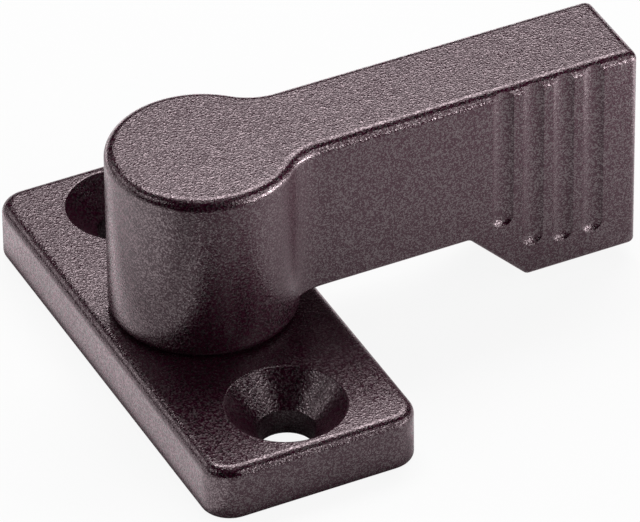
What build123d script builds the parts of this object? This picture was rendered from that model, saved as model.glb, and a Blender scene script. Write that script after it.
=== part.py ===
from build123d import *
from math import cos, radians, sin, sqrt, tan
import os

# Quarter-turn latch: a latch arm that turns on a screw-down base plate and clicks every 90 degrees.
# Millimetres. Origin on the plate's underside, on the axis that the arm turns about.
# +X runs along the arm at rest, +Y along the plate's long side, +Z up out of the surface it is screwed to.

# Base plate
plate_width = 20.0
plate_length = 45.6
plate_thickness = 5.2
plate_corner_radius = 2.7
plate_top_edge_radius = 0.95
plate_foot_edge_radius = 0.3

# Two countersunk holes for the mounting screws, on the plate's long centre line
screw_hole_offset = 16.2
screw_hole_diameter = 5.2
countersink_diameter = 10.7
countersink_angle = 90.0
countersink_rim_radius = 0.2

# Latch arm: a round hub with a narrower bar, one flat top over both
hub_radius = 8.4
arm_top = 22.0
running_gap = 0.1
hub_foot = plate_thickness + running_gap
hub_foot_edge_radius = 0.9
arm_width = 9.44
arm_reach = 40.2
arm_underside = 6.9
neck_radius = 5.0
top_edge_radius = 0.95
end_corner_radius = 0.75
lower_edge_radius = 0.4

# The nose hangs down at the arm's tip behind a sloping face
nose_underside = 1.35
slope_start = 23.7
slope_end = 29.3
nose_corner_radius = 0.6
slope_inner_radius = 0.8

# Grip grooves, scooped into both sides of the tip and open through the top edge
groove_count = 4
groove_first = 26.85
groove_pitch = 2.96
groove_scoop_radius = 1.75
groove_depth = 0.35
groove_end_margin = 2.6

# Pivot screw, put in from below: socket head, plain shoulder that the arm turns on, threaded end
head_diameter = 9.0
head_height = 2.0
head_recess = 0.4
head_edge = 0.3
socket_across_flats = 3.0
socket_sides = 6
socket_depth = 1.3
shoulder_diameter = 6.0
thread_diameter = 5.0
thread_length = 8.0
thread_undercut_diameter = 4.1
thread_undercut_length = 0.6
thread_end_chamfer = 0.5
thread_hole_spare_depth = 1.2
thread_play = 0.02
shoulder_play = 0.05

# Thrust washer between the screw head and the plate
washer_diameter = 9.6
washer_bore = 6.2
washer_thickness = 0.5
washer_edge = 0.1
head_pocket_diameter = 10.4

# Detent: two sprung balls in the hub, four seats in the plate, one for each quarter turn
detent_circle_radius = 5.45
ball_diameter = 3.5
ball_pocket_diameter = 3.6
ball_pocket_depth = 9.0
ball_play = 0.02
ball_drop = 0.45
seat_half_angle = 60.0
seat_play = 0.03
seat_count = 4
seat_apex_radius = 0.1

# Detent springs, squeezed between the balls and the pockets' ends, of wire with eight flats for few faces
spring_mean_diameter = 2.9
spring_wire_diameter = 0.4
spring_wire_flats = 8
spring_turns = 5
spring_end_play = 0.03

# How far a cutting shape reaches past what it cuts, and how near counts as the same place
cut_reach = 1.0
near = 0.01

# Heights that follow from the values above
head_bottom = head_recess
head_top = head_bottom + head_height
washer_top = head_top + washer_thickness
ball_radius = ball_diameter / 2
ball_centre_height = plate_thickness + ball_radius + ball_play
pocket_end = hub_foot + ball_pocket_depth


def along(axis_x, axis_y, low, high, radius):
    """Upright cylinder between two heights."""
    place = Pos(axis_x, axis_y, low)
    return place * Cylinder(radius, high - low, align=(Align.CENTER, Align.CENTER, Align.MIN))


def edges_at_height(shape, height):
    """Edges that lie level at that height."""
    return shape.edges().filter_by(
        lambda e: abs(e.bounding_box().min.Z - height) < near and abs(e.bounding_box().max.Z - height) < near)


def make_countersunk_hole(y):
    """What the mounting screw's hole takes out of the plate: plain bore below, 90 degree cone above."""
    bore_radius = screw_hole_diameter / 2
    rim_radius = countersink_diameter / 2
    cone_depth = (rim_radius - bore_radius) / tan(radians(countersink_angle / 2))
    cone = Pos(0, y, plate_thickness - cone_depth) * Cone(
        bore_radius, rim_radius, cone_depth, align=(Align.CENTER, Align.CENTER, Align.MIN))
    return along(0, y, 0, plate_thickness, bore_radius) + cone


def make_detent_seat(angle):
    """A shallow cone in the plate's top that a ball drops into, ball_drop below its height on the flat."""
    slope = tan(radians(seat_half_angle))
    seated_centre = ball_centre_height - ball_drop
    apex = seated_centre - (ball_radius + seat_play) / sin(radians(seat_half_angle))
    low = apex + seat_apex_radius / slope
    high = plate_thickness + running_gap
    cone = Cone(seat_apex_radius, (high - apex) * slope, high - low,
                align=(Align.CENTER, Align.CENTER, Align.MIN))
    x = detent_circle_radius * cos(radians(angle))
    y = detent_circle_radius * sin(radians(angle))
    return Pos(x, y, low) * cone


def make_base_plate():
    """Die-cast plate: rounded corners and top edge, screw holes, pivot bore, head pocket, detent seats."""
    outline = RectangleRounded(plate_width, plate_length, plate_corner_radius)
    plate = extrude(outline, plate_thickness)
    plate = fillet(edges_at_height(plate, plate_thickness), plate_top_edge_radius)
    plate = fillet(edges_at_height(plate, 0), plate_foot_edge_radius)
    for side in (-1, 1):
        plate -= make_countersunk_hole(side * screw_hole_offset)
    rims = plate.edges().filter_by(GeomType.CIRCLE).filter_by(
        lambda e: abs(e.radius - countersink_diameter / 2) < near)
    plate = fillet(rims, countersink_rim_radius)
    plate -= along(0, 0, 0, plate_thickness, shoulder_diameter / 2 + shoulder_play)
    plate -= along(0, 0, 0, washer_top, head_pocket_diameter / 2)
    for i in range(seat_count):
        plate -= make_detent_seat(i * 360 / seat_count)
    return plate


def make_plan():
    """Outline of hub and bar seen from above, with the concave necks between them."""
    bar = Pos(arm_reach / 2, 0) * Rectangle(arm_reach, arm_width)
    plan = Circle(hub_radius) + bar
    neck_x = sqrt(hub_radius ** 2 - (arm_width / 2) ** 2)
    necks = plan.vertices().filter_by(lambda v: abs(v.X - neck_x) < near)
    plan = fillet(necks, neck_radius)
    end_corners = plan.vertices().filter_by(lambda v: abs(v.X - arm_reach) < near)
    return fillet(end_corners, end_corner_radius)


def make_side_profile():
    """Side view of the bar and nose: flat top, level underside, sloping face, level nose."""
    outline = Plane.XZ * Polygon(
        (-hub_radius, arm_underside), (slope_start, arm_underside), (slope_end, nose_underside),
        (arm_reach, nose_underside), (arm_reach, arm_top), (-hub_radius, arm_top), align=None)
    nose_corner = outline.vertices().sort_by_distance((slope_end, 0, nose_underside))[0]
    outline = fillet(nose_corner, nose_corner_radius)
    inner_corner = outline.vertices().sort_by_distance((slope_start, 0, arm_underside))[0]
    return fillet(inner_corner, slope_inner_radius)


def lower_edges(bar):
    """Edges round the faces that look down, without those that lie between two such faces."""
    down = bar.faces().filter_by(lambda f: f.normal_at(f.center()).Z < -near)
    rims = [edge for face in down for edge in face.edges()]
    return [edge for edge in rims if sum(edge.is_same(other) for other in rims) == 1]


def groove_end_height(x):
    """Lowest point of a groove: the same margin above the nose's underside and its sloping face."""
    slope = (arm_underside - nose_underside) / (slope_end - slope_start)
    above_nose = nose_underside + groove_end_margin
    sloping_face = arm_underside - (x - slope_start) * slope
    return max(above_nose, sloping_face + groove_end_margin * sqrt(1 + slope ** 2))


def make_grip_groove(x, side):
    """Scoop with a round lower end, like the cut of a ball-ended cutter run in from the top."""
    axis_y = side * (arm_width / 2 + groove_scoop_radius - groove_depth)
    half_width = sqrt(groove_scoop_radius ** 2 - (groove_scoop_radius - groove_depth) ** 2)
    low = groove_end_height(x) + half_width
    scoop = along(x, axis_y, low, arm_top + cut_reach, groove_scoop_radius)
    return scoop + Pos(x, axis_y, low) * Sphere(groove_scoop_radius)


def make_latch_arm():
    """Die-cast hub, bar and nose in one, with a threaded hole and two ball pockets in the hub's foot."""
    bar = Pos(0, 0, nose_underside) * extrude(make_plan(), arm_top - nose_underside)
    bar &= extrude(make_side_profile(), hub_radius + cut_reach, both=True)
    bar = fillet(lower_edges(bar), lower_edge_radius)
    arm = bar + along(0, 0, hub_foot, arm_top, hub_radius)
    arm = fillet(edges_at_height(arm, arm_top), top_edge_radius)
    arm = fillet(edges_at_height(arm, hub_foot), hub_foot_edge_radius)
    for i in range(groove_count):
        for side in (-1, 1):
            arm -= make_grip_groove(groove_first + i * groove_pitch, side)
    hole_top = hub_foot + thread_length + thread_hole_spare_depth
    arm -= along(0, 0, hub_foot, hole_top, thread_diameter / 2)
    for side in (-1, 1):
        arm -= along(0, side * detent_circle_radius, hub_foot, pocket_end, ball_pocket_diameter / 2)
    return arm


def make_pivot_screw():
    """Shoulder screw: socket head below, shoulder through washer and plate, threaded end in the hub."""
    head = along(0, 0, head_bottom, head_top, head_diameter / 2)
    head = chamfer(edges_at_height(head, head_bottom), head_edge)
    socket = Pos(0, 0, head_bottom) * extrude(
        RegularPolygon(socket_across_flats / 2, socket_sides, major_radius=False), socket_depth)
    shoulder = along(0, 0, head_top, hub_foot, shoulder_diameter / 2)
    undercut = along(0, 0, hub_foot, hub_foot + thread_undercut_length, thread_undercut_diameter / 2)
    threaded = along(0, 0, hub_foot + thread_undercut_length, hub_foot + thread_length,
                     thread_diameter / 2 - thread_play)
    threaded = chamfer(edges_at_height(threaded, hub_foot + thread_length), thread_end_chamfer)
    return head - socket + shoulder + undercut + threaded


def make_thrust_washer():
    """Flat ring with broken edges."""
    ring = along(0, 0, head_top, washer_top, washer_diameter / 2)
    ring -= along(0, 0, head_top, washer_top, washer_bore / 2)
    return chamfer(ring.edges().filter_by(GeomType.CIRCLE), washer_edge)


def make_detent_ball(side):
    """Ball at the height at which it rolls over the flat of the plate, between two seats."""
    return Pos(0, side * detent_circle_radius, ball_centre_height) * Sphere(ball_radius)


def make_detent_spring(side):
    """Coil spring with ends ground flat: its lowest turn sits round the crown of the ball."""
    wire_radius = spring_wire_diameter / 2
    wire_corner_radius = wire_radius / cos(radians(180 / spring_wire_flats))
    mean_radius = spring_mean_diameter / 2
    reach = ball_radius + wire_corner_radius
    lowest_wire = ball_centre_height + sqrt(reach ** 2 - mean_radius ** 2) + spring_end_play
    low = lowest_wire - wire_radius / 2
    high = pocket_end - spring_end_play
    pitch = (high - low) / spring_turns
    path = Pos(0, 0, low) * Helix(pitch, high - low, mean_radius)
    section = Plane(path @ 0, z_dir=path % 0) * RegularPolygon(wire_corner_radius, spring_wire_flats)
    coil = sweep(section, path, is_frenet=True)
    ground = coil & along(0, 0, low, high, mean_radius + cut_reach)
    return Pos(0, side * detent_circle_radius, 0) * ground


def main():
    """Writes each piece to its own STEP file."""
    os.makedirs("parts", exist_ok=True)
    parts = {
        "base_plate": make_base_plate(),
        "latch_arm": make_latch_arm(),
        "pivot_screw": make_pivot_screw(),
        "thrust_washer": make_thrust_washer(),
        "detent_ball_front": make_detent_ball(-1),
        "detent_ball_rear": make_detent_ball(1),
        "detent_spring_front": make_detent_spring(-1),
        "detent_spring_rear": make_detent_spring(1),
    }
    for name, solid in parts.items():
        export_step(solid, f"parts/{name}.step")


main()
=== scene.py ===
import math

import bmesh
import bpy
from bpy.props import FloatProperty, FloatVectorProperty, IntProperty, PointerProperty
from bpy.types import Operator, Panel, PropertyGroup
from mathutils import Matrix, Vector


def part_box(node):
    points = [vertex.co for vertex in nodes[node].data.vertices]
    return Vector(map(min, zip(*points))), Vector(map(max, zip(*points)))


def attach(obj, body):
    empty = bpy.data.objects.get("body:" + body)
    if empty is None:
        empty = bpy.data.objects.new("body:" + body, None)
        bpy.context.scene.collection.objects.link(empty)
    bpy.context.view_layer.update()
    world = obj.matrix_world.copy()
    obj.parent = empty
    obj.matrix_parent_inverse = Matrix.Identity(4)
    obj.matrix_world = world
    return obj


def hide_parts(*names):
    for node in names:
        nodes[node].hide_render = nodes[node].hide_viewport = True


bl_info = {
    "name": "Quarter-turn latch",
    "version": (1, 1, 0),
    "blender": (4, 5, 0),
    "location": "3D View > Sidebar > Latch",
    "description": "Finishes of a small die-cast quarter-turn latch, its pivot screw, and its studio",
    "category": "Object",
}

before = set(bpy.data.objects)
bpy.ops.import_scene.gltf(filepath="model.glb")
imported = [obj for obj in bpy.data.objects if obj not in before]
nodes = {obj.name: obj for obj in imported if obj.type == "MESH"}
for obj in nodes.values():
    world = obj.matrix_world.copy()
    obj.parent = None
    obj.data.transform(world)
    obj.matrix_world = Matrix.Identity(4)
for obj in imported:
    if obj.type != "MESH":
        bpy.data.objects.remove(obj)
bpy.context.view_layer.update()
MILLIMETRE = 0.001
WHITE = (1.0, 1.0, 1.0)

# Places on the latch that the finishes and the screw follow, read from the frame
screw_low, screw_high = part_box("pivot_screw")
washer_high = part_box("thrust_washer")[1]
ball_low, ball_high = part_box("detent_ball_rear")
spring_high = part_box("detent_spring_rear")[1]
ball_radius = (ball_high.z - ball_low.z) / 2
detent_radius = (ball_high.y + ball_low.y) / 2


class Link:
    """A node's output. Arithmetic on it adds Math nodes, and node() adds any other node to its tree."""

    def __init__(self, tree, socket=None):
        self.tree = tree
        self.socket = socket

    def node(self, kind, settings=None, inputs=None, output=0):
        """Adds a node. Its settings come first, then the value or link of each input named or numbered."""
        made = self.tree.nodes.new(kind)
        for name, value in (settings or {}).items():
            setattr(made, name, value)
        for key, value in (inputs or {}).items():
            if isinstance(value, Link):
                self.tree.links.new(value.socket, made.inputs[key])
            else:
                made.inputs[key].default_value = value
        return Link(self.tree, made.outputs[output] if made.outputs else None)

    def apart(self):
        """X, Y and Z of a point."""
        x = self.node("ShaderNodeSeparateXYZ", None, {0: self})
        return [Link(self.tree, socket) for socket in x.socket.node.outputs]

    def math(self, operation, *values):
        """A Math node's result on these values."""
        return self.node("ShaderNodeMath", {"operation": operation}, dict(enumerate(values)))

    def __add__(self, other):
        return self.math("ADD", self, other)

    def __sub__(self, other):
        return self.math("SUBTRACT", self, other)

    def __rsub__(self, other):
        return self.math("SUBTRACT", other, self)

    def __mul__(self, other):
        return self.math("MULTIPLY", self, other)

    def __pow__(self, other):
        return self.math("POWER", self, other)

    def __abs__(self):
        return self.math("ABSOLUTE", self)

    __radd__ = __add__
    __rmul__ = __mul__


def between(low, value, high):
    """0 under low, 1 over high, and a smooth step from one to the other."""
    return value.node("ShaderNodeMapRange", {"interpolation_type": "SMOOTHSTEP"},
                      {"Value": value, "From Min": low, "From Max": high})


def within(value, limit, soft=0.02 * MILLIMETRE):
    """1 under a limit and 0 over it, with a smooth step that reaches soft to each side."""
    return 1.0 - between(limit - soft, value, limit + soft)


def mixed(share, first, second):
    """A colour between two others."""
    settings = {"data_type": "RGBA"}
    return share.node("ShaderNodeMix", settings, {0: share, 6: first, 7: second}, output=2)


def noise(point, size, detail=1.0, roughness=0.5):
    """Grey noise about 0.5, with features of about that size in metres."""
    inputs = {"Vector": point, "Scale": 1.0 / size, "Detail": detail, "Roughness": roughness}
    return point.node("ShaderNodeTexNoise", {"noise_dimensions": "3D"}, inputs)


def random_cells(point, size):
    """A random value from 0 to 1 for each of many small cells of about that size in metres."""
    inputs = {"Vector": point, "Scale": 1.0 / size}
    return point.node("ShaderNodeTexVoronoi", {"voronoi_dimensions": "3D"}, inputs, output=1).apart()[0]


def ripples(distance, pitch):
    """A wave from 0 to 1 that repeats once in every pitch."""
    return distance.math("SINE", distance * (2.0 * math.pi / pitch)) * 0.5 + 0.5


def bumps(height, depth, under=None):
    """A normal from a height that runs from 0 to 1 over that depth in metres."""
    inputs = {"Height": height, "Distance": depth, "Strength": 1.0}
    if under is not None:
        inputs["Normal"] = under
    return height.node("ShaderNodeBump", None, inputs)


def rgba(colour):
    """A colour as a socket takes it, fully opaque."""
    return (*colour, 1.0)


def darker(colour, share):
    """A colour with that share of its light."""
    return tuple(share * part for part in colour)


def start_finish(name):
    """A new material with an empty tree, and its Object coordinates."""
    material = bpy.data.materials.new(name)
    material.use_nodes = True
    material.node_tree.nodes.clear()
    place = Link(material.node_tree).node("ShaderNodeTexCoord", output=3)
    return material, place


def end_finish(place, surface):
    """Joins a finish's Principled shader to its output."""
    shader = place.node("ShaderNodeBsdfPrincipled", None, surface)
    place.node("ShaderNodeOutputMaterial", None, {"Surface": shader})


def wear_finish(piece, material):
    """Puts one material on all of a piece."""
    piece.data.materials.clear()
    piece.data.materials.append(material)


class CoatSettings(PropertyGroup):
    """The powder coat on both castings, and the bare metal under it."""

    colour: FloatVectorProperty(name="Colour", description="Colour of the coat", subtype="COLOR",
                                size=3, min=0.0, max=1.0, default=(0.018, 0.001, 0.007))
    gloss: FloatProperty(name="Gloss", description="How strongly the coat mirrors between its bright grains",
                         subtype="FACTOR", min=0.0, max=1.0, default=0.42)
    gloss_tint: FloatVectorProperty(name="Gloss tint", description="Brown cast of what the coat mirrors",
                                    subtype="COLOR", size=3, min=0.0, max=1.0, default=(1.0, 0.80, 0.86))
    bright_colour: FloatVectorProperty(name="Bright grain colour", description="Colour of the bright grains",
                                       subtype="COLOR", size=3, min=0.0, max=1.0,
                                       default=(0.108, 0.087, 0.093))
    bright_size: FloatProperty(name="Bright grain size", description="Width of one bright grain",
                               subtype="DISTANCE", default=0.11 * MILLIMETRE)
    bright_share: FloatProperty(name="Bright grain share", description="Share of the grains that are bright",
                                subtype="FACTOR", min=0.0, max=1.0, default=0.4)
    grain_size: FloatProperty(name="Grain size", description="Width of the coat's fine bumps",
                              subtype="DISTANCE", default=0.19 * MILLIMETRE)
    grain_depth: FloatProperty(name="Grain depth", description="Depth of the coat's fine bumps",
                               subtype="DISTANCE", default=0.033 * MILLIMETRE)
    grain_detail: FloatProperty(name="Grain detail", description="Finer bumps on the fine bumps",
                                min=0.0, max=8.0, default=1.0)
    flow_size: FloatProperty(name="Flow size", description="Width of the slow waves left by the coat's flow",
                             subtype="DISTANCE", default=1.6 * MILLIMETRE)
    flow_depth: FloatProperty(name="Flow depth", description="Depth of the slow waves",
                              subtype="DISTANCE", default=0.01 * MILLIMETRE)
    roughness: FloatProperty(name="Roughness", description="Roughness of the coat on the crests of its bumps",
                             subtype="FACTOR", min=0.0, max=1.0, default=0.13)
    hollow_roughness: FloatProperty(name="Hollow roughness", description="Roughness between the bumps",
                                    subtype="FACTOR", min=0.0, max=1.0, default=0.38)
    bare_colour: FloatVectorProperty(name="Bare colour", description="Colour of the machined zinc alloy",
                                     subtype="COLOR", size=3, min=0.0, max=1.0, default=(0.50, 0.50, 0.49))
    tool_pitch: FloatProperty(name="Tool pitch", description="Spacing of the marks that the tool left",
                              subtype="DISTANCE", default=0.12 * MILLIMETRE)
    tool_depth: FloatProperty(name="Tool depth", description="Depth of the marks that the tool left",
                              subtype="DISTANCE", default=0.004 * MILLIMETRE)


def machined_places(radius, height):
    """1 where the castings are machined bare, under the hub: screw pocket, bores, and the balls' track."""
    bore_margin = 0.45 * MILLIMETRE
    pocket = within(radius, washer_high.x + bore_margin)
    track = within(radius, detent_radius + ball_radius + bore_margin) * (1.0 - within(height, washer_high.z))
    ceiling = within(height, spring_high.z + bore_margin)
    return pocket.math("MAXIMUM", pocket, track) * ceiling


def make_coat(settings):
    """Dark textured powder coat: fine bumps on slow waves, duller in their hollows, and bright grains."""
    cell_softness = 0.05
    hollow_level, crest_level = 0.4, 0.6
    bright_metal = 0.95
    machined_dullness = 0.12
    material, place = start_finish("textured_powder_coat")
    x, y, height = place.apart()
    radius = (x * x + y * y) ** 0.5
    bare = machined_places(radius, height)
    coated = 1.0 - bare
    grain = noise(place, settings.grain_size, detail=settings.grain_detail)
    flow = noise(place, settings.flow_size)
    cell_value = random_cells(place, settings.bright_size)
    limit = 1.0 - settings.bright_share
    bright = between(limit - cell_softness, cell_value, limit + cell_softness) * coated
    crests = between(hollow_level, grain, crest_level)
    paint = mixed(bright, rgba(settings.colour), rgba(settings.bright_colour))
    dull = settings.hollow_roughness - (settings.hollow_roughness - settings.roughness) * crests
    waves = bumps(flow * coated, settings.flow_depth)
    marks = bumps(ripples(radius + height, settings.tool_pitch) * bare, settings.tool_depth, waves)
    end_finish(place, {
        "Base Color": mixed(bare, paint, rgba(settings.bare_colour)),
        "Metallic": bare + bright_metal * bright,
        "Roughness": dull + machined_dullness * bare,
        "Specular IOR Level": settings.gloss,
        "Specular Tint": rgba(settings.gloss_tint),
        "Normal": bumps(grain * coated, settings.grain_depth, marks),
    })
    return material


class LATCH_OT_coat_castings(Operator):
    """Gives the base plate and the latch arm their powder coat"""

    bl_idname = "latch.coat_castings"
    bl_label = "Coat the castings"

    def execute(self, context):
        coat = make_coat(context.scene.latch_coat)
        for name in ("base_plate", "latch_arm"):
            wear_finish(nodes[name], coat)
        return {"FINISHED"}


class SteelSettings(PropertyGroup):
    """Finishes of the steel parts inside the latch."""

    plating: FloatVectorProperty(name="Plating", description="Zinc plating on the screw and the washer",
                                 subtype="COLOR", size=3, min=0.0, max=1.0, default=(0.62, 0.62, 0.60))
    polish: FloatVectorProperty(name="Polish", description="Polished steel of the balls",
                                subtype="COLOR", size=3, min=0.0, max=1.0, default=(0.72, 0.72, 0.73))
    wire: FloatVectorProperty(name="Wire", description="Drawn wire of the springs",
                              subtype="COLOR", size=3, min=0.0, max=1.0, default=(0.50, 0.50, 0.51))
    turning_pitch: FloatProperty(name="Turning pitch", description="Spacing of the turning marks",
                                 subtype="DISTANCE", default=0.09 * MILLIMETRE)
    turning_depth: FloatProperty(name="Turning depth", description="Depth of the turning marks",
                                 subtype="DISTANCE", default=0.002 * MILLIMETRE)


def make_plated_steel(settings):
    """Zinc plating over turning marks about the pivot axis, mottled in cloudy patches."""
    cloud_size = 1.2 * MILLIMETRE
    speck_size = 0.15 * MILLIMETRE
    clear_share = 0.92
    roughness, cloud_roughness = 0.28, 0.06
    material, place = start_finish("zinc_plated_steel")
    x, y, height = place.apart()
    radius = (x * x + y * y) ** 0.5
    clouds = between(0.35, noise(place, cloud_size, detail=3.0), 0.65)
    specks = noise(place, speck_size)
    marks = bumps(ripples(radius + height, settings.turning_pitch), settings.turning_depth)
    end_finish(place, {
        "Base Color": mixed(clouds, rgba(darker(settings.plating, clear_share)), rgba(settings.plating)),
        "Metallic": 1.0,
        "Roughness": roughness + cloud_roughness * clouds,
        "Normal": bumps(specks, settings.turning_depth, marks),
    })
    return material


def make_polished_steel(settings):
    """Hardened steel polished bright, with the faint scuffs of rolling."""
    scuff_size = 0.4 * MILLIMETRE
    scuff_share = 0.9
    roughness, scuff_roughness = 0.06, 0.14
    material, place = start_finish("polished_ball_steel")
    scuffs = between(0.55, noise(place, scuff_size, detail=4.0, roughness=0.7), 0.75)
    end_finish(place, {
        "Base Color": mixed(scuffs, rgba(settings.polish), rgba(darker(settings.polish, scuff_share))),
        "Metallic": 1.0,
        "Roughness": roughness + scuff_roughness * scuffs,
    })
    return material


def make_spring_wire(settings):
    """Drawn wire, darkened by oil, with scratches that run along the coils."""
    line_size = 0.05 * MILLIMETRE
    oil_size = 0.9 * MILLIMETRE
    oil_share = 0.7
    roughness, line_roughness = 0.3, 0.15
    material, place = start_finish("drawn_spring_wire")
    x, y, height = place.apart()
    away = abs(y) - detent_radius
    radius = (x * x + away * away) ** 0.5
    draw_lines = noise(radius.node("ShaderNodeCombineXYZ", None, {0: radius, 2: height}), line_size)
    oil = between(0.4, noise(place, oil_size, detail=2.0), 0.7)
    end_finish(place, {
        "Base Color": mixed(oil, rgba(settings.wire), rgba(darker(settings.wire, oil_share))),
        "Metallic": 1.0,
        "Roughness": roughness + line_roughness * draw_lines,
        "Normal": bumps(draw_lines, settings.turning_depth),
    })
    return material


class LATCH_OT_finish_steel(Operator):
    """Gives the washer, the balls and the springs their steel finishes"""

    bl_idname = "latch.finish_steel"
    bl_label = "Finish the steel parts"

    def execute(self, context):
        settings = context.scene.latch_steel
        wear_finish(nodes["thrust_washer"], make_plated_steel(settings))
        ball_steel = make_polished_steel(settings)
        spring_wire = make_spring_wire(settings)
        for end in ("front", "rear"):
            wear_finish(nodes[f"detent_ball_{end}"], ball_steel)
            wear_finish(nodes[f"detent_spring_{end}"], spring_wire)
        return {"FINISHED"}


class ScrewSettings(PropertyGroup):
    """Sizes of the pivot screw, from its head below to its threaded end above."""

    head_height: FloatProperty(name="Head height", description="Height of the head", subtype="DISTANCE",
                               default=2.0 * MILLIMETRE)
    socket_width: FloatProperty(name="Socket width", description="Across the flats of the hexagon socket",
                                subtype="DISTANCE", default=3.0 * MILLIMETRE)
    socket_depth: FloatProperty(name="Socket depth", description="Depth of the hexagon socket",
                                subtype="DISTANCE", default=1.3 * MILLIMETRE)
    shoulder_radius: FloatProperty(name="Shoulder radius", description="Radius of the plain shoulder",
                                   subtype="DISTANCE", default=3.0 * MILLIMETRE)
    shoulder_length: FloatProperty(name="Shoulder length", description="From the head to the undercut",
                                   subtype="DISTANCE", default=2.9 * MILLIMETRE)
    core_radius: FloatProperty(name="Core radius", description="Radius at the thread's root and its undercut",
                               subtype="DISTANCE", default=2.05 * MILLIMETRE)
    undercut_length: FloatProperty(name="Undercut length", description="From the shoulder to the thread",
                                   subtype="DISTANCE", default=0.6 * MILLIMETRE)
    thread_radius: FloatProperty(name="Thread radius", description="Radius over the thread's crests",
                                 subtype="DISTANCE", default=2.48 * MILLIMETRE)
    thread_pitch: FloatProperty(name="Thread pitch", description="Rise of the thread in one turn",
                                subtype="DISTANCE", default=0.8 * MILLIMETRE)
    end_chamfer: FloatProperty(name="End chamfer", description="Chamfer on the threaded end",
                               subtype="DISTANCE", default=0.5 * MILLIMETRE)
    edge: FloatProperty(name="Edge", description="Width of the broken edges on the head and the shoulder",
                        subtype="DISTANCE", default=0.15 * MILLIMETRE)
    sides: IntProperty(name="Sides", description="Flats round the screw's circles", default=96)


def add_rod(name, radius, low, high, sides):
    """An upright cylinder between two heights, about the pivot axis."""
    bpy.ops.object.select_all(action="DESELECT")
    bpy.ops.mesh.primitive_cylinder_add(vertices=sides, radius=radius, depth=high - low,
                                        location=(0.0, 0.0, (low + high) / 2))
    rod = bpy.context.object
    rod.name = name
    bpy.ops.object.transform_apply(location=True, rotation=True, scale=True)
    return rod


def choose(kind, test):
    """In edit mode, selects the faces or the edges that pass a test and nothing else."""
    bpy.ops.mesh.select_mode(type=kind)
    bpy.ops.mesh.select_all(action="DESELECT")
    mesh = bpy.context.edit_object.data
    edit = bmesh.from_edit_mesh(mesh)
    for part in edit.faces if kind == "FACE" else edit.edges:
        part.select_set(test(part))
    bmesh.update_edit_mesh(mesh)


def points_up(face):
    """A test for faces that point upwards."""
    return face.normal.z > 0.5


def level_rim(height):
    """A test for edges that lie level at a height."""
    tolerance = 0.01 * MILLIMETRE
    return lambda edge: all(abs(corner.co.z - height) < tolerance for corner in edge.verts)


def step_up(inset, rise):
    """In edit mode, draws the top face in by an inset and lifts it by a rise."""
    bpy.ops.mesh.inset(thickness=inset)
    bpy.ops.mesh.extrude_region_move(TRANSFORM_OT_translate={"value": (0.0, 0.0, rise)})


def combine(piece, tool, operation):
    """Joins, cuts or keeps the common part of two closed meshes, and takes the tool away."""
    bpy.context.view_layer.objects.active = piece
    change = piece.modifiers.new(operation.lower(), "BOOLEAN")
    change.operation = operation
    change.object = tool
    change.solver = "EXACT"
    bpy.ops.object.modifier_apply(modifier=change.name)
    bpy.data.objects.remove(tool)


def make_screw_body(settings, low):
    """Head and shoulder, drawn up from one cylinder, with broken edges."""
    head_top = low + settings.head_height
    shoulder_top = head_top + settings.shoulder_length
    body = add_rod("pivot_screw_threaded", screw_high.x, low, head_top, settings.sides)
    bpy.ops.object.mode_set(mode="EDIT")
    choose("FACE", points_up)
    step_up(screw_high.x - settings.shoulder_radius, settings.shoulder_length)
    rims = [level_rim(height) for height in (low, shoulder_top)]
    choose("EDGE", lambda edge: any(rim(edge) for rim in rims))
    bpy.ops.mesh.bevel(offset=settings.edge, segments=2)
    bpy.ops.object.mode_set(mode="OBJECT")
    return body


def wind_ridge(settings, low, high):
    """The thread's ridge: a closed trapezium wound up the core, and past its end."""
    depth = settings.thread_radius - settings.core_radius
    sunk = 0.15 * MILLIMETRE
    # Widths at the thread's root and at its crest, as shares of its pitch
    root_share, crest_share = 0.85, 0.15
    bpy.ops.object.select_all(action="DESELECT")
    bpy.ops.mesh.primitive_plane_add(size=1.0)
    ridge = bpy.context.object
    ridge.name = "thread_ridge"
    bpy.ops.object.mode_set(mode="EDIT")
    bpy.ops.transform.resize(value=(depth + sunk, root_share * settings.thread_pitch, 1.0))
    bpy.ops.transform.rotate(value=math.pi / 2, orient_axis="X", center_override=(0.0, 0.0, 0.0))
    bpy.ops.transform.translate(value=(settings.core_radius + (depth - sunk) / 2, 0.0, 0.0))
    choose("EDGE", lambda edge: all(corner.co.x > settings.core_radius for corner in edge.verts))
    bpy.ops.transform.resize(value=(1.0, 1.0, crest_share / root_share))
    bpy.ops.object.mode_set(mode="OBJECT")
    winding = ridge.modifiers.new("winding", "SCREW")
    winding.axis = "Z"
    winding.screw_offset = settings.thread_pitch
    winding.iterations = math.ceil((high - low) / settings.thread_pitch) + 1
    winding.steps = settings.sides // 2
    winding.render_steps = settings.sides // 2
    bpy.ops.object.modifier_apply(modifier=winding.name)
    bpy.ops.object.mode_set(mode="EDIT")
    bpy.ops.mesh.select_all(action="SELECT")
    bpy.ops.transform.translate(value=(0.0, 0.0, low + settings.thread_pitch / 2))
    bpy.ops.mesh.fill_holes(sides=4)
    bpy.ops.mesh.select_all(action="SELECT")
    bpy.ops.mesh.normals_make_consistent(inside=False)
    bpy.ops.object.mode_set(mode="OBJECT")
    return ridge


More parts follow.
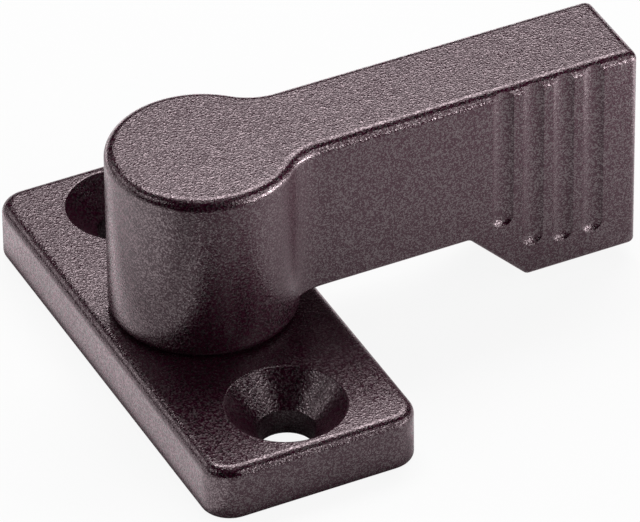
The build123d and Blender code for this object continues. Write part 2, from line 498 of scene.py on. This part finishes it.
def make_thread(settings, bottom, low, high):
    """A core from the bottom up, with a thread from low to high and a chamfered end."""
    beyond = settings.thread_pitch
    core = add_rod("thread_core", settings.core_radius, bottom, high + beyond, settings.sides)
    combine(core, wind_ridge(settings, low, high), "UNION")
    around = 0.4 * MILLIMETRE
    outside = settings.thread_radius + around
    envelope = add_rod("thread_envelope", outside, bottom - beyond, high, settings.sides)
    bpy.ops.object.mode_set(mode="EDIT")
    choose("EDGE", level_rim(high))
    bpy.ops.mesh.bevel(offset=settings.end_chamfer + around, segments=1)
    bpy.ops.object.mode_set(mode="OBJECT")
    combine(core, envelope, "INTERSECT")
    return core


class LATCH_OT_model_screw(Operator):
    """Models the pivot screw with its hexagon socket and its thread"""

    bl_idname = "latch.model_screw"
    bl_label = "Model the pivot screw"

    def execute(self, context):
        settings = context.scene.latch_screw
        hexagon_sides = 6
        overshoot = 0.5 * MILLIMETRE
        smooth_angle = math.radians(30.0)
        low, high = screw_low.z, screw_high.z
        shoulder_top = low + settings.head_height + settings.shoulder_length
        inside_shoulder = shoulder_top - settings.shoulder_length / 4
        thread = make_thread(settings, inside_shoulder, shoulder_top + settings.undercut_length, high)
        body = make_screw_body(settings, low)
        combine(body, thread, "UNION")
        corner_radius = settings.socket_width / 2 / math.cos(math.pi / hexagon_sides)
        socket_top = low + settings.socket_depth
        socket = add_rod("hexagon", corner_radius, low - overshoot, socket_top, hexagon_sides)
        combine(body, socket, "DIFFERENCE")
        bpy.ops.object.select_all(action="DESELECT")
        body.select_set(True)
        bpy.ops.object.shade_smooth_by_angle(angle=smooth_angle)
        wear_finish(body, make_plated_steel(context.scene.latch_steel))
        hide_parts("pivot_screw")
        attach(body, "arm")
        return {"FINISHED"}


class StudioSettings(PropertyGroup):
    """Camera, floor and lamps."""

    lens: FloatProperty(name="Lens", description="Focal length of the camera, in millimetres", default=462.8)
    distance: FloatProperty(name="Distance", description="From the camera to the point it aims at",
                            subtype="DISTANCE", default=0.71765)
    azimuth: FloatProperty(name="Azimuth", description="Turn of the camera about the latch",
                           subtype="ANGLE", default=math.radians(-25.902))
    elevation: FloatProperty(name="Elevation", description="Height of the camera above the horizon",
                             subtype="ANGLE", default=math.radians(36.747))
    roll: FloatProperty(name="Roll", description="Turn of the camera about its own line of sight",
                        subtype="ANGLE", default=math.radians(-0.650))
    aim: FloatVectorProperty(name="Aim", description="Point in the middle of the picture", subtype="XYZ",
                             unit="LENGTH", size=3, default=(0.010000, -0.002600, 0.008020))
    lamp_distance: FloatProperty(name="Lamp distance", description="From the latch to each softbox",
                                 subtype="DISTANCE", default=0.8)
    floor_size: FloatProperty(name="Floor size", description="Side of the square floor",
                              subtype="DISTANCE", default=4.0)
    floor_grey: FloatProperty(name="Floor grey", description="How much light the floor throws back",
                              subtype="FACTOR", min=0.0, max=1.0, default=0.65)
    shadow: FloatProperty(name="Shadow", description="How much of the latch's shadow the camera sees",
                          subtype="FACTOR", min=0.0, max=1.0, default=0.1)
    shadow_reach: FloatProperty(name="Shadow reach", description="How far from the pivot the shadow is seen",
                                subtype="DISTANCE", default=0.10)
    pale_front: FloatProperty(name="Pale front", description="From the pivot to the end, towards the camera, "
                              "of the floor that the latch mirrors as pale",
                              subtype="DISTANCE", default=0.043)
    pale_fade: FloatProperty(name="Pale fade", description="Half the width over which the pale floor ends",
                             subtype="DISTANCE", default=0.004)


class Softbox:
    """A soft lamp round the latch. Angles are in degrees, sides in metres, and a glow of 1 looks white."""

    def __init__(self, name, azimuth, elevation, width, height, glow):
        self.name = name
        self.azimuth = math.radians(azimuth)
        self.elevation = math.radians(elevation)
        self.width = width
        self.height = height
        self.glow = glow


SOFTBOXES = (
    Softbox("back_softbox", azimuth=135, elevation=48, width=0.56, height=0.225, glow=8.8),
    Softbox("back_upper_left_softbox", azimuth=180, elevation=64, width=0.28, height=0.24, glow=10.6),
    Softbox("back_upper_right_softbox", azimuth=135, elevation=64, width=0.28, height=0.24, glow=6.2),
    Softbox("right_softbox", azimuth=60, elevation=19, width=0.30, height=0.20, glow=6.0),
    Softbox("front_softbox", azimuth=30, elevation=33, width=0.32, height=0.21, glow=5.7),
    Softbox("low_front_softbox", azimuth=30, elevation=6, width=0.28, height=0.18, glow=6.1),
    Softbox("left_softbox", azimuth=-90, elevation=33, width=0.32, height=0.21, glow=4.0),
    Softbox("rear_left_softbox", azimuth=-138, elevation=28, width=0.50, height=0.30, glow=2.5),
    Softbox("low_left_softbox", azimuth=-115, elevation=6, width=0.35, height=0.18, glow=1.6),
    Softbox("overhead_softbox", azimuth=0, elevation=82, width=0.30, height=0.26, glow=2.0),
)


class FloorPanel:
    """A glowing panel in the floor, which the camera doesn't see. Its corners are in millimetres."""

    def __init__(self, name, low, high, glow):
        self.name = name
        self.low = MILLIMETRE * Vector(low)
        self.high = MILLIMETRE * Vector(high)
        self.glow = glow


FLOOR_PANELS = (
    FloorPanel("near_left_panel", low=(-17, -30), high=(-10.5, 40), glow=1.3),
    FloorPanel("left_panel", low=(-70, -22), high=(-24, 50), glow=1.3),
    FloorPanel("near_front_panel", low=(-10.5, -45), high=(12, -23.5), glow=0.35),
    FloorPanel("under_arm_panel", low=(12, -45), high=(60, 50), glow=0.5),
    FloorPanel("right_panel", low=(60, -45), high=(100, 0), glow=2.8),
    FloorPanel("back_panel", low=(-250, 110), high=(300, 500), glow=4.0),
    FloorPanel("front_right_panel", low=(110, -230), high=(370, -70), glow=60.0),
)


def from_angles(azimuth, elevation):
    """Unit vector towards a place seen from the latch. Azimuth 0 is -Y, 90 degrees is +X."""
    level = math.cos(elevation)
    return Vector((math.sin(azimuth) * level, -math.cos(azimuth) * level, math.sin(elevation)))


def place_camera(settings):
    """The camera at the photograph's angle, distance and framing."""
    data = bpy.data.cameras.new("studio_camera")
    data.lens = settings.lens
    data.sensor_width = 36.0
    data.clip_start = 0.01
    camera = bpy.data.objects.new("studio_camera", data)
    bpy.context.scene.collection.objects.link(camera)
    back = from_angles(settings.azimuth, settings.elevation)
    turn = back.to_track_quat("Z", "Y") @ Matrix.Rotation(settings.roll, 4, "Z").to_quaternion()
    place = Vector(settings.aim) + back * settings.distance
    camera.matrix_world = Matrix.Translation(place) @ turn.to_matrix().to_4x4()
    bpy.context.scene.camera = camera


def add_lamp(name, width, height, glow, place):
    """A rectangular lamp of even glow, put in its place by a matrix."""
    data = bpy.data.lights.new(name, "AREA")
    data.shape = "RECTANGLE"
    data.size = width
    data.size_y = height
    data.energy = glow * math.pi * width * height
    lamp = bpy.data.objects.new(name, data)
    bpy.context.scene.collection.objects.link(lamp)
    lamp.matrix_world = place
    return lamp


def hang_softbox(softbox, distance):
    """Hangs a softbox so that it looks at the latch."""
    towards = from_angles(softbox.azimuth, softbox.elevation)
    place = Matrix.Translation(towards * distance) @ towards.to_track_quat("Z", "Y").to_matrix().to_4x4()
    add_lamp(softbox.name, softbox.width, softbox.height, softbox.glow, place)


def set_panel(panel):
    """Lays a glowing panel in the floor, facing up."""
    just_under = 0.01 * MILLIMETRE
    size = panel.high - panel.low
    middle = (panel.low + panel.high) / 2
    place = Matrix.Translation((middle.x, middle.y, -just_under)) @ Matrix.Rotation(math.pi, 4, "X")
    lamp = add_lamp(panel.name, size.x, size.y, panel.glow, place)
    lamp.visible_camera = False


def lay_floor(settings):
    """The floor. The camera sees it white but for a little of the latch's shadow, and the latch mirrors it
    as pale, up to an edge towards the camera and dark beyond it."""
    just_under = 0.02 * MILLIMETRE
    bpy.ops.mesh.primitive_plane_add(size=settings.floor_size, location=(0.0, 0.0, -just_under))
    floor = bpy.context.object
    floor.name = "floor"
    material, place = start_finish("white_floor")
    x, y = place.apart()[:2]
    towards_camera = from_angles(settings.azimuth, 0.0)
    forward = x * towards_camera.x + y * towards_camera.y
    camera_ray = place.node("ShaderNodeLightPath")
    pale = within(forward, settings.pale_front, settings.pale_fade)
    grey = settings.floor_grey * pale.math("MAXIMUM", pale, camera_ray)
    lit = place.node("ShaderNodeBsdfDiffuse", None, {"Color": grey})
    white = place.node("ShaderNodeEmission", None, {"Color": rgba(WHITE), "Strength": 1.0})
    near = within((x * x + y * y) ** 0.5, settings.shadow_reach, settings.shadow_reach / 2)
    share = camera_ray * (1.0 - settings.shadow * near)
    surface = place.node("ShaderNodeMixShader", None, {0: share, 1: lit, 2: white})
    place.node("ShaderNodeOutputMaterial", None, {"Surface": surface})
    wear_finish(floor, material)


def make_backdrop():
    """The world round the studio: white to the camera, and dark to everything else."""
    world = bpy.data.worlds.new("studio_world")
    bpy.context.scene.world = world
    world.use_nodes = True
    world.node_tree.nodes.clear()
    start = Link(world.node_tree)
    camera_ray = start.node("ShaderNodeLightPath")
    glow = start.node("ShaderNodeBackground", None, {"Color": rgba(WHITE), "Strength": camera_ray})
    start.node("ShaderNodeOutputWorld", None, {"Surface": glow})


class LATCH_OT_set_studio(Operator):
    """Sets up the floor, the lamps and the camera"""

    bl_idname = "latch.set_studio"
    bl_label = "Set the studio"

    def execute(self, context):
        settings = context.scene.latch_studio
        place_camera(settings)
        lay_floor(settings)
        make_backdrop()
        for softbox in SOFTBOXES:
            hang_softbox(softbox, settings.lamp_distance)
        for panel in FLOOR_PANELS:
            set_panel(panel)
        bpy.context.scene.view_settings.view_transform = "Standard"
        return {"FINISHED"}


class LATCH_PT_panel(Panel):
    """Lists the steps in their order"""

    bl_idname = "LATCH_PT_panel"
    bl_label = "Quarter-turn latch"
    bl_space_type = "VIEW_3D"
    bl_region_type = "UI"
    bl_category = "Latch"

    def draw(self, context):
        for step in STEPS:
            self.layout.operator(step.bl_idname)


STEPS = (LATCH_OT_coat_castings, LATCH_OT_finish_steel, LATCH_OT_model_screw, LATCH_OT_set_studio)
GROUPS = {
    "latch_coat": CoatSettings,
    "latch_steel": SteelSettings,
    "latch_screw": ScrewSettings,
    "latch_studio": StudioSettings,
}


def register():
    """Adds the settings, the steps and the panel to Blender."""
    for group in GROUPS.values():
        bpy.utils.register_class(group)
    for name, group in GROUPS.items():
        setattr(bpy.types.Scene, name, PointerProperty(type=group))
    for step in (*STEPS, LATCH_PT_panel):
        bpy.utils.register_class(step)


def unregister():
    """Takes the panel, the steps and the settings away again."""
    for step in (LATCH_PT_panel, *STEPS):
        bpy.utils.unregister_class(step)
    for name in GROUPS:
        delattr(bpy.types.Scene, name)
    for group in GROUPS.values():
        bpy.utils.unregister_class(group)


def main():
    """Registers everything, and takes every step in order."""
    register()
    bpy.ops.object.select_all(action="DESELECT")
    for step in STEPS:
        group, operator = step.bl_idname.split(".")
        getattr(getattr(bpy.ops, group), operator)()


if __name__ == "__main__":
    main()
